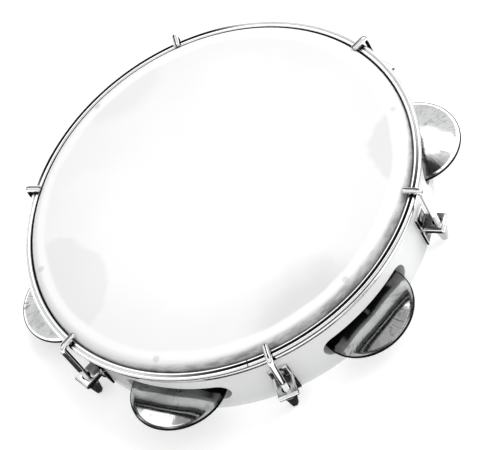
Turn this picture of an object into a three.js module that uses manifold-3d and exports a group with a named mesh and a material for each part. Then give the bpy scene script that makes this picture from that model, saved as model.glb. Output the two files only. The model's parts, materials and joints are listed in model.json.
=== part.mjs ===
// Pandeiro: a ten-inch frame drum with a hook-tuned plastic head and jingles in the shell.
// Millimetres, +Z up. The origin is the centre of the shell's bottom edge.

import * as THREE from 'three';
import { mergeVertices } from 'three/addons/utils/BufferGeometryUtils.js';
import Module from 'manifold-3d';

const wasm = await Module();
wasm.setup();

// Counts and facets
const hookCount = 6;
const gripGapCount = 1;
const ringSegments = 48;
const discSegments = 24;
const boreSegments = 12;
const wireSegments = 8;
const hexSides = 6;
const arcSteps = 4;
const slotEndSteps = 6;
const bendSteps = 10;

// Clearances
const seatGap = 0.3;
const cutOverrun = 2;

// Shell: a round wall with a rounded outer top edge that the head bears on
const shellOuterRadius = 127;
const shellWall = 9;
const shellHeight = 52;
const bearingRound = 6;
const innerChamfer = 0.8;

// Head: one plastic film, drawn down outside the shell and turned under its hoop
const filmThickness = 0.35;
const filmTuck = 2.2;

// Flesh hoop: the ring at the film's edge
const fleshHoopHeight = 5.4;
const fleshHoopWidth = 3.6;

// Counter hoop: a rolled strip with two beads and a groove between them
const hoopBelowTop = 4;
const hoopSideGap = 0.85;
const beadRadius = 1.25;
const beadSpacing = 2.55;
const beadWeb = 1;

// Tension hooks: bent round wire, threaded at the lower end. As on a tuned drum, the brackets aren't
// quite evenly spaced, and some hooks lean along the hoop. A positive lean takes the top clockwise.
const wireRadius = 2.1;
const threadRadius = 1.95;
const shankLength = 22;
const hookOverhang = 1.55;
const tipStraight = 4.5;
const tipCurlRadius = 4;
const tipCurlDegrees = 20;
const bendLead = 1;
const hookShiftDegrees = [-1.6, 0.7, 0.8, 0.9, 1.9, -0.7];
const hookLeanDegrees = [0, -1.2, -3.2, 4.5, 0, 0];

// Brackets: one folded strip each, with a doubled flange between two tabs
const bracketWidth = 12.5;
const sheetThickness = 1.4;
const foldGap = 1.2;
const flangeMiddle = 17.2;
const flangeBeyondRod = 5.7;
const tabTop = 28;
const tabBottom = 1.5;
const rodHoleClearance = 1;

// Tuning nuts: a round collar over a tapered six-sided body, blind below
const nutCollarRadius = 4.9;
const nutCollarHeight = 1.6;
const nutLength = 13.4;
const nutRootRadius = 4.6;
const nutTipRadius = 2.7;
const nutBoreDepth = 10.5;

// Rivets: two for each bracket, through the tab and the shell
const rivetRadius = 1.6;
const rivetHeadRadius = 3;
const rivetHeadHeight = 1.3;
const rivetCrownShare = 0.6;
const rivetClenchRadius = 2.6;
const rivetClenchHeight = 0.9;

// Jingle slots: long holes with round ends, a little longer than the jingles are wide
const slotEndClearance = 4.3;
const slotHeight = 15;
const slotBottom = 10;

// Jingle pins: headed pins, driven down through the wall from under the head
const pinInset = 3.8;
const pinRadius = 1.5;
const pinHeadRadius = 2;
const pinHeadHeight = 1;
const pinHeadSink = 1;
const pinEmbed = 8;

// Jingles: pairs of dished discs, crowns outwards, loose on the pin, so that each pair lies its own way.
// A positive tilt along the wall lifts the anticlockwise end, and one across it lifts the outer edge.
// A negative slide puts a pair off its pin clockwise along the wall, within the play of its bore.
const jingleRadius = 31.2;
const jingleThickness = 0.7;
const jingleDish = 3.3;
const jingleLip = 2.2;
const jingleCrownRadius = 6.5;
const jingleBoreRadius = 2.8;
const dishReachShares = [0, 0.5, 1];
const dishRiseShares = [0, 0.68, 1];
const jingleShiftDegrees = [0, 0, -0.6, 2.1, 0];
const tiltAlongDegrees = [2, 3, -3, -1.6, 0.6];
const tiltAcrossDegrees = [-5, 2.5, 9, -0.6, -1];
const pinSlides = [0, 0, -0.9, 0, 0];

// Heights and radii that follow from the sizes above
const shellInnerRadius = shellOuterRadius - shellWall;
const bearingCentre = shellOuterRadius - bearingRound;
const bearingHeight = shellHeight - bearingRound;
const filmInnerRadius = shellOuterRadius + seatGap;
const filmOuterRadius = filmInnerRadius + filmThickness;
const hoopHeight = shellHeight - hoopBelowTop;
const innerBeadCentre = filmOuterRadius + hoopSideGap + beadRadius;
const outerBeadCentre = innerBeadCentre + beadSpacing;
const fleshHoopInner = filmOuterRadius + seatGap;
const fleshHoopTop = hoopHeight - beadRadius - seatGap;
const fleshHoopBottom = fleshHoopTop - fleshHoopHeight;
const hookBend = beadRadius + seatGap + wireRadius;
const rodCircle = outerBeadCentre + hookOverhang + hookBend;
const flangeHalf = foldGap / 2 + sheetThickness;
const flangeTop = flangeMiddle + flangeHalf;
const flangeBottom = flangeMiddle - flangeHalf;
const tabBack = shellOuterRadius + seatGap;
const tabFront = tabBack + sheetThickness;
const nutTop = flangeBottom - seatGap;
const nutBoreBottom = nutTop - nutBoreDepth;
const nutBoreRadius = threadRadius + seatGap;
const rivetHoleRadius = rivetRadius + seatGap;
const rivetHeights = { upper: (tabTop + flangeTop) / 2, lower: (tabBottom + flangeBottom) / 2 };
const slotLength = 2 * (jingleRadius + slotEndClearance);
const pinCircle = shellInnerRadius + pinInset;
const pinHoleRadius = pinRadius + seatGap;
const pinTop = shellHeight - pinHeadSink;
const pinBottom = slotBottom - pinEmbed;
const stationAngle = 2 * Math.PI / hookCount;
const radians = THREE.MathUtils.degToRad;
const turn = (table, i) => radians(table[i % table.length]);

// Materials
const paint = (color, roughness, metalness) =>
  new THREE.MeshStandardMaterial({ color, roughness, metalness });
const materials = {
  shell: paint(0xf2f2f0, 0.2, 0),
  film: paint(0xf6f6f3, 0.35, 0),
  hoop: paint(0xd8dadc, 0.1, 1),
  plated: paint(0xc9ccd0, 0.15, 1),
  dark: paint(0x77797c, 0.35, 1),
  jingle: paint(0xd2d4d6, 0.18, 1),
};

// Geometry helpers
function weld(geometry) {
  geometry.deleteAttribute('normal');
  geometry.deleteAttribute('uv');
  const welded = mergeVertices(geometry);
  const corners = Array.from(welded.index.array);
  const kept = [];
  for (let i = 0; i < corners.length; i += 3) {
    const [a, b, c] = corners.slice(i, i + 3);
    if (a !== b && b !== c && c !== a) {
      kept.push(a, b, c);
    }
  }
  welded.setIndex(kept);
  return welded;
}

function toSolid(geometry) {
  const welded = weld(geometry);
  const vertProperties = new Float32Array(welded.attributes.position.array);
  const triVerts = new Uint32Array(welded.index.array);
  return new wasm.Manifold(new wasm.Mesh({ numProp: 3, vertProperties, triVerts }));
}

function toGeometry(solid) {
  const mesh = solid.getMesh();
  const geometry = new THREE.BufferGeometry();
  geometry.setAttribute('position', new THREE.BufferAttribute(mesh.vertProperties, mesh.numProp));
  geometry.setIndex(new THREE.BufferAttribute(mesh.triVerts, 1));
  geometry.computeVertexNormals();
  return geometry;
}

function cut(body, cutters) {
  let solid = toSolid(body);
  for (const cutter of cutters) {
    solid = solid.subtract(toSolid(cutter));
  }
  return toGeometry(solid);
}

function join(pieces) {
  let solid = toSolid(pieces[0]);
  for (const piece of pieces.slice(1)) {
    solid = solid.add(toSolid(piece));
  }
  return toGeometry(solid);
}

// Turns a profile of [radius, height] points round +Z. The points run anticlockwise.
function revolve(profile, segments) {
  const points = profile.map(([radius, height]) => new THREE.Vector2(radius, height));
  const geometry = new THREE.LatheGeometry(points, segments);
  geometry.rotateX(Math.PI / 2);
  return weld(geometry);
}

function closed(profile) {
  return [...profile, profile[0]];
}

// Points on an arc about [x, y], both ends included.
function arc(x, y, radius, from, to, steps) {
  return Array.from({ length: steps + 1 }, (unused, i) => {
    const angle = from + (to - from) * i / steps;
    return [x + radius * Math.cos(angle), y + radius * Math.sin(angle)];
  });
}

// An upright round bar between two heights.
function bar(radius, bottom, top, segments, topRadius = radius) {
  const geometry = new THREE.CylinderGeometry(topRadius, radius, top - bottom, segments);
  geometry.rotateX(Math.PI / 2);
  geometry.translate(0, 0, (top + bottom) / 2);
  return geometry;
}

// A round bar along the local radius, between two distances from the drum's axis.
function radialBar(radius, from, to, height, segments) {
  const geometry = new THREE.CylinderGeometry(radius, radius, to - from, segments);
  geometry.rotateZ(-Math.PI / 2);
  geometry.translate((to + from) / 2, 0, height);
  return geometry;
}

function shapeOf(points) {
  return new THREE.Shape(points.map(([x, y]) => new THREE.Vector2(x, y)));
}

// Extrudes an outline of [radius, height] points across the local tangent.
function acrossTangent(points, width) {
  const geometry = new THREE.ExtrudeGeometry(shapeOf(points), { depth: width, bevelEnabled: false });
  geometry.rotateX(Math.PI / 2);
  geometry.translate(0, width / 2, 0);
  return geometry;
}

// Extrudes an outline of [tangent, height] points along the local radius.
function alongRadius(points, from, to) {
  const geometry = new THREE.ExtrudeGeometry(shapeOf(points), { depth: to - from, bevelEnabled: false });
  const basis = new THREE.Matrix4().makeBasis(
    new THREE.Vector3(0, 1, 0),
    new THREE.Vector3(0, 0, 1),
    new THREE.Vector3(1, 0, 0),
  );
  geometry.applyMatrix4(basis);
  geometry.translate(from, 0, 0);
  return geometry;
}

// The hooks are numbered clockwise from +X, seen from above. Each gap follows its hook, and the last
// gap has no jingles, so that a hand can hold the drum there.
const hookAngles = Array.from({ length: hookCount }, (unused, i) =>
  turn(hookShiftDegrees, i) - i * stationAngle);
const jingleAngles = Array.from({ length: hookCount - gripGapCount }, (unused, i) =>
  turn(jingleShiftDegrees, i) - (i + 1 / 2) * stationAngle);

// Shell
function slotCutter() {
  const end = slotHeight / 2;
  const reach = slotLength / 2 - end;
  const middle = slotBottom + end;
  const outline = [
    ...arc(reach, middle, end, -Math.PI / 2, Math.PI / 2, slotEndSteps),
    ...arc(-reach, middle, end, Math.PI / 2, 3 * Math.PI / 2, slotEndSteps),
  ];
  const from = Math.sqrt(shellInnerRadius ** 2 - (slotLength / 2) ** 2) - cutOverrun;
  return alongRadius(outline, from, shellOuterRadius + cutOverrun);
}

function pinCutters() {
  const hole = bar(pinHoleRadius, pinBottom - seatGap, shellHeight + cutOverrun, wireSegments);
  const recess = bar(
    pinHeadRadius + seatGap, pinTop - pinHeadHeight - seatGap, shellHeight + cutOverrun, wireSegments,
  );
  return [hole, recess].map((cutter) => cutter.translate(pinCircle, 0, 0));
}

function rivetCutters(from, to) {
  return Object.values(rivetHeights).map((height) =>
    radialBar(rivetHoleRadius, from, to, height, wireSegments));
}

function makeShell() {
  const body = revolve(closed([
    [shellInnerRadius, 0],
    [shellOuterRadius, 0],
    ...arc(bearingCentre, bearingHeight, bearingRound, 0, Math.PI / 2, arcSteps),
    [shellInnerRadius + innerChamfer, shellHeight],
    [shellInnerRadius, shellHeight - innerChamfer],
  ]), ringSegments);
  const cutters = [];
  for (const angle of jingleAngles) {
    for (const cutter of [slotCutter(), ...pinCutters()]) {
      cutters.push(cutter.rotateZ(angle));
    }
  }
  for (const angle of hookAngles) {
    for (const cutter of rivetCutters(shellInnerRadius - cutOverrun, shellOuterRadius + cutOverrun)) {
      cutters.push(cutter.rotateZ(angle));
    }
  }
  return cut(body, cutters);
}

// Head
function makeHead() {
  const inner = bearingRound + seatGap;
  const outer = inner + filmThickness;
  const tuckTop = fleshHoopBottom - seatGap;
  const tuckBottom = tuckTop - filmThickness;
  const tuckReach = filmOuterRadius + filmTuck;
  return revolve([
    [0, bearingHeight + inner],
    ...arc(bearingCentre, bearingHeight, inner, Math.PI / 2, 0, arcSteps),
    [filmInnerRadius, tuckBottom],
    [tuckReach, tuckBottom],
    [tuckReach, tuckTop],
    [filmOuterRadius, tuckTop],
    ...arc(bearingCentre, bearingHeight, outer, 0, Math.PI / 2, arcSteps),
    [0, bearingHeight + outer],
  ], ringSegments);
}

// Hoops
function makeFleshHoop() {
  const outer = fleshHoopInner + fleshHoopWidth;
  const bevel = fleshHoopWidth / 4;
  return revolve(closed([
    [fleshHoopInner, fleshHoopBottom],
    [outer - bevel, fleshHoopBottom],
    [outer, fleshHoopBottom + bevel],
    [outer, fleshHoopTop - bevel],
    [outer - bevel, fleshHoopTop],
    [fleshHoopInner, fleshHoopTop],
  ]), ringSegments);
}

function makeCounterHoop() {
  const waist = Math.asin(beadWeb / 2 / beadRadius);
  const steps = arcSteps + 1;
  const outerBead = arc(outerBeadCentre, hoopHeight, beadRadius, waist - Math.PI, Math.PI - waist, steps);
  const innerBead = arc(innerBeadCentre, hoopHeight, beadRadius, waist, 2 * Math.PI - waist, steps);
  return revolve(closed([...outerBead, ...innerBead]), ringSegments);
}

// Tension hook: a rod that stands outside the hoops and bends inwards over the outer bead
function hookPath() {
  const top = hoopHeight + hookBend;
  const curlStart = outerBeadCentre - tipStraight;
  const curlEnd = Math.PI / 2 + radians(tipCurlDegrees);
  const points = [
    [rodCircle, hoopHeight - bendLead],
    ...arc(rodCircle - hookBend, hoopHeight, hookBend, 0, Math.PI / 2, 2 * arcSteps),
    ...arc(curlStart, top - tipCurlRadius, tipCurlRadius, Math.PI / 2, curlEnd, arcSteps),
  ].map(([radius, height]) => new THREE.Vector3(radius, 0, height));
  const path = new THREE.CurvePath();
  points.slice(1).forEach((point, i) => path.add(new THREE.LineCurve3(points[i], point)));
  return path;
}

function makeHook() {
  const shoulder = hoopHeight - shankLength;
  const threadBottom = nutBoreBottom + seatGap;
  const thread = bar(threadRadius, threadBottom, shoulder + bendLead, wireSegments);
  thread.translate(rodCircle, 0, 0);
  const shank = bar(wireRadius, shoulder, hoopHeight, wireSegments).translate(rodCircle, 0, 0);
  const section = new THREE.Shape().absarc(0, 0, wireRadius, 0, 2 * Math.PI);
  const bend = new THREE.ExtrudeGeometry(section, {
    steps: bendSteps,
    curveSegments: wireSegments / 2,
    extrudePath: hookPath(),
  });
  return join([thread, shank, bend]);
}

// Tuning nut, about its own upright axis
function makeNut() {
  const nutBottom = nutTop - nutLength;
  const collar = bar(nutCollarRadius, nutTop - nutCollarHeight, nutTop, boreSegments);
  const body = bar(nutTipRadius, nutBottom, nutTop - nutCollarHeight / 2, hexSides, nutRootRadius);
  const bore = bar(nutBoreRadius, nutBoreBottom, nutTop + cutOverrun, boreSegments);
  return cut(join([collar, body]), [bore]);
}

// Bracket
function makeBracket() {
  const foldCentre = rodCircle + flangeBeyondRod - flangeHalf;
  const half = foldGap / 2;
  const strip = [
    [tabFront, tabBottom],
    [tabFront, flangeBottom],
    ...arc(foldCentre, flangeMiddle, flangeHalf, -Math.PI / 2, Math.PI / 2, arcSteps),
    [tabFront, flangeTop],
    [tabFront, tabTop],
    [tabBack, tabTop],
    [tabBack, flangeMiddle + half],
    ...arc(foldCentre, flangeMiddle, half, Math.PI / 2, -Math.PI / 2, arcSteps),
    [tabBack, flangeMiddle - half],
    [tabBack, tabBottom],
  ];
  const rodHole = bar(
    threadRadius + rodHoleClearance, flangeBottom - cutOverrun, flangeTop + cutOverrun, boreSegments,
  ).translate(rodCircle, 0, 0);
  const rivetHoles = rivetCutters(tabBack - cutOverrun, tabFront + cutOverrun);
  return cut(acrossTangent(strip, bracketWidth), [rodHole, ...rivetHoles]);
}

// Rivet, along +Z here and laid along the radius by its mesh
function makeRivet() {
  const seat = tabFront + seatGap;
  const clench = shellInnerRadius - seatGap;
  return revolve([
    [0, clench - rivetClenchHeight],
    [rivetClenchRadius, clench - rivetClenchHeight],
    [rivetClenchRadius, clench],
    [rivetRadius, clench],
    [rivetRadius, seat],
    [rivetHeadRadius, seat],
    [rivetHeadRadius * rivetCrownShare, seat + rivetHeadHeight],
    [0, seat + rivetHeadHeight],
  ], wireSegments);
}

// Jingle pin, about its own upright axis
function makePin() {
  return revolve([
    [0, pinBottom],
    [pinRadius, pinBottom],
    [pinRadius, pinTop - pinHeadHeight],
    [pinHeadRadius, pinTop - pinHeadHeight],
    [pinHeadRadius, pinTop],
    [0, pinTop],
  ], wireSegments);
}

// Jingle, crown up, with the underside of its lip at height zero
function makeJingle() {
  const lipInner = jingleRadius - jingleLip;
  const reach = jingleCrownRadius - lipInner;
  const dish = dishReachShares.map((share, i) => [
    lipInner + reach * share,
    jingleDish * dishRiseShares[i],
  ]);
  const under = [[jingleRadius, 0], ...dish, [jingleBoreRadius, jingleDish]].reverse();
  const over = [...under].reverse().map(([radius, height]) => [radius, height + jingleThickness]);
  return revolve(closed([...under, ...over]), discSegments);
}

// Assembly
const drum = new THREE.Group();

function place(parent, name, geometry, material) {
  const mesh = new THREE.Mesh(geometry, material);
  mesh.name = name;
  parent.add(mesh);
  return mesh;
}

function station(angle, radius = 0, height = 0) {
  const turned = new THREE.Group();
  turned.rotation.z = angle;
  drum.add(turned);
  const seat = new THREE.Group();
  seat.position.set(radius, 0, height);
  turned.add(seat);
  return seat;
}

place(drum, 'shell', makeShell(), materials.shell);
place(drum, 'head', makeHead(), materials.film);
place(drum, 'flesh_hoop', makeFleshHoop(), materials.plated);
place(drum, 'counter_hoop', makeCounterHoop(), materials.hoop);

// A leaning hook and its nut turn about the middle of the rod hole. The hook is drawn out a little, so that
// it still clears the beads, and the nut sits lower, so that its tilted collar clears the flange.
hookAngles.forEach((angle, i) => {
  const number = i + 1;
  const lean = turn(hookLeanDegrees, i);
  const rise = (hoopHeight + hookBend - flangeMiddle) * (1 / Math.cos(lean) - 1);
  const drop = nutCollarRadius * Math.abs(Math.sin(lean));
  const rod = station(angle, rodCircle, flangeMiddle);
  rod.rotation.x = lean;
  const hook = place(rod, `tension_hook_${number}`, makeHook(), materials.hoop);
  hook.position.set(-rodCircle, 0, rise - flangeMiddle);
  const nut = place(rod, `tuning_nut_${number}`, makeNut(), materials.plated);
  nut.position.z = -flangeMiddle - drop;
  place(station(angle), `bracket_${number}`, makeBracket(), materials.plated);
  for (const [level, height] of Object.entries(rivetHeights)) {
    const rivet = place(station(angle, 0, height), `rivet_${level}_${number}`, makeRivet(), materials.dark);
    rivet.rotation.y = Math.PI / 2;
  }
});

jingleAngles.forEach((angle, i) => {
  const number = i + 1;
  const along = turn(tiltAlongDegrees, i);
  const across = turn(tiltAcrossDegrees, i);
  const crownDrop = jingleCrownRadius * Math.hypot(Math.sin(along), Math.sin(across));
  const pairMiddle = slotBottom + seatGap + crownDrop + jingleDish + jingleThickness + seatGap / 2;
  place(station(angle, pinCircle), `jingle_pin_${number}`, makePin(), materials.dark);
  const pair = station(angle, pinCircle, pairMiddle);
  pair.rotation.set(along, -across, 0);
  pair.position.y = pinSlides[i % pinSlides.length];
  const upper = place(pair, `jingle_upper_${number}`, makeJingle(), materials.jingle);
  upper.position.z = seatGap / 2;
  const lower = place(pair, `jingle_lower_${number}`, makeJingle(), materials.jingle);
  lower.position.z = -seatGap / 2;
  lower.rotation.x = Math.PI;
});

export default drum;
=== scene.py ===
import json
import math
from functools import partialmethod

import bpy
import numpy as np
from mathutils import Matrix, Vector, noise

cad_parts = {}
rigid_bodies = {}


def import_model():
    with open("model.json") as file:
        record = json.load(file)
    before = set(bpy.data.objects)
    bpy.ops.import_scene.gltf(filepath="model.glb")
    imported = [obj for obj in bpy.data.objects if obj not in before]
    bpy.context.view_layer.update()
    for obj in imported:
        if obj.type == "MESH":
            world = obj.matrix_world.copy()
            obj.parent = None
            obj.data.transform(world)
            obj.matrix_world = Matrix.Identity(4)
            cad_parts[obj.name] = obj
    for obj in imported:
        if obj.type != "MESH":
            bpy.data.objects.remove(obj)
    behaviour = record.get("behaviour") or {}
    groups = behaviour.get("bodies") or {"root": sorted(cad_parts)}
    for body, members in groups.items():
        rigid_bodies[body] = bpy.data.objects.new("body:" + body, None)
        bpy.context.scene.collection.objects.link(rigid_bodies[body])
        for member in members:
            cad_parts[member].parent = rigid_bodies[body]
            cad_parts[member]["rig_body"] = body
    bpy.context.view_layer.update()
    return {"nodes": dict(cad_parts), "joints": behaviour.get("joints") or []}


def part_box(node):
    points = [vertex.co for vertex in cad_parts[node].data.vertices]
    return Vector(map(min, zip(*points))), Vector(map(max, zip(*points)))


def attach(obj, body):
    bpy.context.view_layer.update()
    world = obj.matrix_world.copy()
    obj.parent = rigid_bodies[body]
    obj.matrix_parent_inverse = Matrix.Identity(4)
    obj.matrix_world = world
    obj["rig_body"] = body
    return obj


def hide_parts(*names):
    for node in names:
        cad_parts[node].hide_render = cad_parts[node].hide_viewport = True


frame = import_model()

# Pandeiro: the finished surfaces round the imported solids.
# Lengths are in millimetres here, and become metres where a mesh or a light is made.
MM = 0.001

# Counts and facets
RING_SEGMENTS = 360
DISC_SEGMENTS = 144
WIRE_SIDES = 28
NUT_SEGMENTS = 96
RIVET_SEGMENTS = 40
ARC_STEPS = 12
EDGE_STEPS = 4
CURL_STEPS = 4
SHANK_STEPS = 5
NUT_STEPS = 8
DISH_STEPS = 40
BEVEL_STEPS = 2
BEVEL_DEGREES = 60
CREASE_DEGREES = 38
NUT_CREASE_DEGREES = 24
SHEET_CREASE_DEGREES = 30
NO_CREASE_DEGREES = 180
SLOT_STRAIGHT_STEPS = 30
SLOT_END_STEPS = 12
WALL_ROWS = 6
PLAIN_COLUMN_DEGREES = 1.2

# Shell
SEAT_GAP = 0.3
SHELL_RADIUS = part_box("shell")[1].x / MM
SHELL_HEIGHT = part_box("shell")[1].z / MM
SHELL_WALL = 9
BEARING_ROUND = 6
INNER_ROUND = 0.8
SHELL_EDGE = 0.5
SLOT_HEIGHT = 15
SLOT_BOTTOM = 10
SLOT_END_CLEARANCE = 4.3
SLOT_EDGE = 0.45

# Head and hoops
FILM = 0.35
FILM_TUCK = 2.2
FILM_WRINKLE = 0.07
FILM_FLAT_SHARES = (0.25, 0.5, 0.75, 0.9)
PLEAT_WAVES = 26
FINE_PLEAT_WAVES = 2.7
FINE_PLEAT_SHARE = 0.6
# Painted shadows of the discs and of the near wall, as seen through the milky film
FILM_SHADES = (
    # x, y, reach, softness, share
    (-119, 37, 44, 4, 0.2),
    (99, -94, 36, 4, 0.28),
    (-28, -125, 52, 32, 0.5),
    (20, 128, 40, 14, 0.15),
)
FLESH_HEIGHT = 5.4
FLESH_WIDTH = 3.6
FLESH_ROUND = 0.8
HOOP_BELOW_TOP = 4
HOOP_SIDE_GAP = 0.85
BEAD_RADIUS = 1.25
BEAD_SPACING = 2.55
BEAD_WEB = 1

# Tension hooks and nuts
WIRE_RADIUS = 2.1
THREAD_RADIUS = 1.95
THREAD_DEPTH = 0.38
THREAD_PITCH = 0.7
THREAD_ROWS = 7
THREAD_FLANK_SLOPE = 1.6
THREAD_CREST_SHARE = 0.3
SHANK_LENGTH = 22
SHOULDER_CONE = 0.5
SHANK_TOP_ROW = 2
HOOK_OVERHANG = 1.55
TIP_STRAIGHT = 4.5
TIP_CURL_RADIUS = 4
TIP_CURL_DEGREES = 20
TIP_ROUND = 0.7
TIP_ROW_SHARES = (0.35, 0.7)
NUT_COLLAR_RADIUS = 4.9
NUT_COLLAR_HEIGHT = 1.6
NUT_LENGTH = 13.4
NUT_ROOT_RADIUS = 4.6
NUT_TIP_RADIUS = 2.7
NUT_BORE_DEPTH = 10.5
NUT_EDGE = 0.25
NUT_CORNER_SHARE = 0.965
NUT_TIP_ROUND_PARTS = 3

# Brackets and rivets
BRACKET_WIDTH = 12.5
SHEET = 1.4
FOLD_GAP = 1.2
FLANGE_BEYOND_ROD = 5.7
TAB_TOP = 28
TAB_BOTTOM = 1.5
ROD_HOLE_CLEARANCE = 1
BEND_ROUND = 1
SHEET_EDGE = 0.22
RIVET_RADIUS = 1.6
RIVET_HEAD_RADIUS = 3
RIVET_HEAD_HEIGHT = 1.3
RIVET_CLENCH_RADIUS = 2.6
RIVET_CLENCH_HEIGHT = 0.9

# Jingles and their pins
JINGLE_RADIUS = 31.2
JINGLE_THICKNESS = 0.7
JINGLE_DISH = 3.3
JINGLE_LIP = 2.2
JINGLE_CROWN = 6.5
JINGLE_BORE = 2.8
JINGLE_DENT = 0.07
DENT_SIZE = 11
DENT_FADE = 6
DENT_SEEDS = (7.3, 3.1)
RIM_POINTS_SHARE = 0.99
POINT_DIGITS = 7
PIN_INSET = 3.8
PIN_RADIUS = 1.5
PIN_HEAD_RADIUS = 2
PIN_HEAD_HEIGHT = 1
PIN_HEAD_SINK = 1
PIN_EMBED = 8

# Heights and radii that follow
SHELL_INNER = SHELL_RADIUS - SHELL_WALL
BEARING_CENTRE = SHELL_RADIUS - BEARING_ROUND
BEARING_HEIGHT = SHELL_HEIGHT - BEARING_ROUND
FILM_INNER = SHELL_RADIUS + SEAT_GAP
FILM_OUTER = FILM_INNER + FILM
FILM_TOP = SHELL_HEIGHT + SEAT_GAP + FILM
HOOP_HEIGHT = SHELL_HEIGHT - HOOP_BELOW_TOP
INNER_BEAD = FILM_OUTER + HOOP_SIDE_GAP + BEAD_RADIUS
OUTER_BEAD = INNER_BEAD + BEAD_SPACING
FLESH_INNER = FILM_OUTER + SEAT_GAP
FLESH_TOP = HOOP_HEIGHT - BEAD_RADIUS - SEAT_GAP
FLESH_BOTTOM = FLESH_TOP - FLESH_HEIGHT
HOOK_BEND = BEAD_RADIUS + SEAT_GAP + WIRE_RADIUS
ROD_CIRCLE = OUTER_BEAD + HOOK_OVERHANG + HOOK_BEND
FLANGE_HALF = FOLD_GAP / 2 + SHEET
FLANGE_MIDDLE = frame["joints"][0]["pos_m"][2] / MM
TAB_BACK = SHELL_RADIUS + SEAT_GAP
TAB_FRONT = TAB_BACK + SHEET
NUT_TOP = FLANGE_MIDDLE - FLANGE_HALF - SEAT_GAP
NUT_BORE_BOTTOM = NUT_TOP - NUT_BORE_DEPTH
SLOT_MIDDLE = SLOT_BOTTOM + SLOT_HEIGHT / 2
SLOT_HALF_LENGTH = JINGLE_RADIUS + SLOT_END_CLEARANCE
PIN_CIRCLE = SHELL_INNER + PIN_INSET
PIN_TOP = SHELL_HEIGHT - PIN_HEAD_SINK
PIN_BOTTOM = SLOT_BOTTOM - PIN_EMBED

hook_count = sum(name.startswith("tension_hook") for name in frame["nodes"])
jingle_count = sum(name.startswith("jingle_pin") for name in frame["nodes"])


# Points and meshes
def spoke(angle, radius=1):
    """The point at that angle and radius."""
    return radius * math.cos(angle), radius * math.sin(angle)


def arc(x, y, radius, start, end, steps):
    """Points on an arc about (x, y), with both ends, from start to end in degrees."""
    angles = np.radians(np.linspace(start, end, steps + 1))
    return [(x + radius * math.cos(a), y + radius * math.sin(a)) for a in angles]


def rounded(corners):
    """An outline of (x, y, radius) corners as points, each corner with its radius rounded off."""
    points = []
    for i, (x, y, radius) in enumerate(corners):
        here = Vector((x, y))
        before = (Vector(corners[i - 1][:2]) - here).normalized()
        after = (Vector(corners[(i + 1) % len(corners)][:2]) - here).normalized()
        if radius == 0:
            points.append((x, y))
            continue
        half = before.angle(after) / 2
        centre = here + (before + after).normalized() * radius / math.sin(half)
        start = here + before * radius / math.tan(half) - centre
        turn = start.angle_signed(here + after * radius / math.tan(half) - centre)
        for k in range(EDGE_STEPS + 1):
            point = start.copy()
            point.rotate(Matrix.Rotation(-turn * k / EDGE_STEPS, 2))
            points.append(tuple(centre + point))
    return points


def mesh_from(name, vertices, faces, crease=CREASE_DEGREES):
    """A mesh in metres, smooth but for edges sharper than crease degrees."""
    mesh = bpy.data.meshes.new(name)
    mesh.from_pydata((np.array(vertices, dtype=float) * MM).tolist(), [], faces)
    mesh.shade_smooth()
    mesh.set_sharp_from_angle(angle=math.radians(crease))
    return mesh


def skin(rings, around=True, along=False):
    """Faces between rings of vertex numbers. A ring of one vertex is a pole."""
    faces = []
    pairs = list(zip(rings, rings[1:]))
    if along:
        pairs.append((rings[-1], rings[0]))
    for low, high in pairs:
        count = max(len(low), len(high))
        for i in range(count if around else count - 1):
            j = (i + 1) % count
            if len(low) == 1:
                faces.append((low[0], high[j], high[i]))
            elif len(high) == 1:
                faces.append((low[i], low[j], high[0]))
            else:
                faces.append((low[i], low[j], high[j], high[i]))
    return faces


def turned(name, profile, segments, shape=None, crease=CREASE_DEGREES):
    """A profile turned round +Z. Each point is a radius, a height, and what else shape takes.

    A profile from pole to pole is solid, and any other one is a ring that closes on itself.
    """
    vertices, rings = [], []
    for radius, height, *more in profile:
        first = len(vertices)
        count = segments if radius else 1
        for i in range(count):
            angle = 2 * math.pi * i / segments
            r, z = shape(angle, radius, height, *more) if shape and radius else (radius, height)
            vertices.append((*spoke(angle, r), z))
        rings.append(list(range(first, first + count)))
    return mesh_from(name, vertices, skin(rings, along=profile[0][0] > 0), crease)


def new_object(name, data):
    made = bpy.data.objects.new(name, data)
    bpy.context.scene.collection.objects.link(made)
    return made


def coordinates(mesh):
    values = np.empty(3 * len(mesh.vertices))
    mesh.vertices.foreach_get("co", values)
    return values


def piece(node, mesh, finish, matrix=None):
    """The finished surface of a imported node, on the node's body. Its points keep their own places."""
    own = mesh.attributes.new("own_place", "FLOAT_VECTOR", "POINT")
    own.data.foreach_set("vector", coordinates(mesh))
    if matrix:
        mesh.transform(matrix)
    made = new_object("fine_" + node, mesh)
    mesh.materials.append(finish)
    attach(made, frame["nodes"][node]["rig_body"])
    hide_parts(node)
    return made


def shift(x, y, z):
    return Matrix.Translation(Vector((x, y, z)) * MM)


# Shell
def slot_columns():
    """Places along a slot's upper edge: tangent, rise above the middle, and the edge's normal."""
    end = SLOT_HEIGHT / 2
    reach = SLOT_HALF_LENGTH - end
    columns = []
    for t, rise in arc(-reach, 0, end, 180, 90, SLOT_END_STEPS):
        columns.append((t, rise, (t + reach) / end, rise / end))
    for k in range(1, SLOT_STRAIGHT_STEPS):
        columns.append((-reach + 2 * reach * k / SLOT_STRAIGHT_STEPS, end, 0, 1))
    for t, rise in arc(reach, 0, end, 90, 0, SLOT_END_STEPS):
        columns.append((t, rise, (t - reach) / end, rise / end))
    return columns


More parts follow.
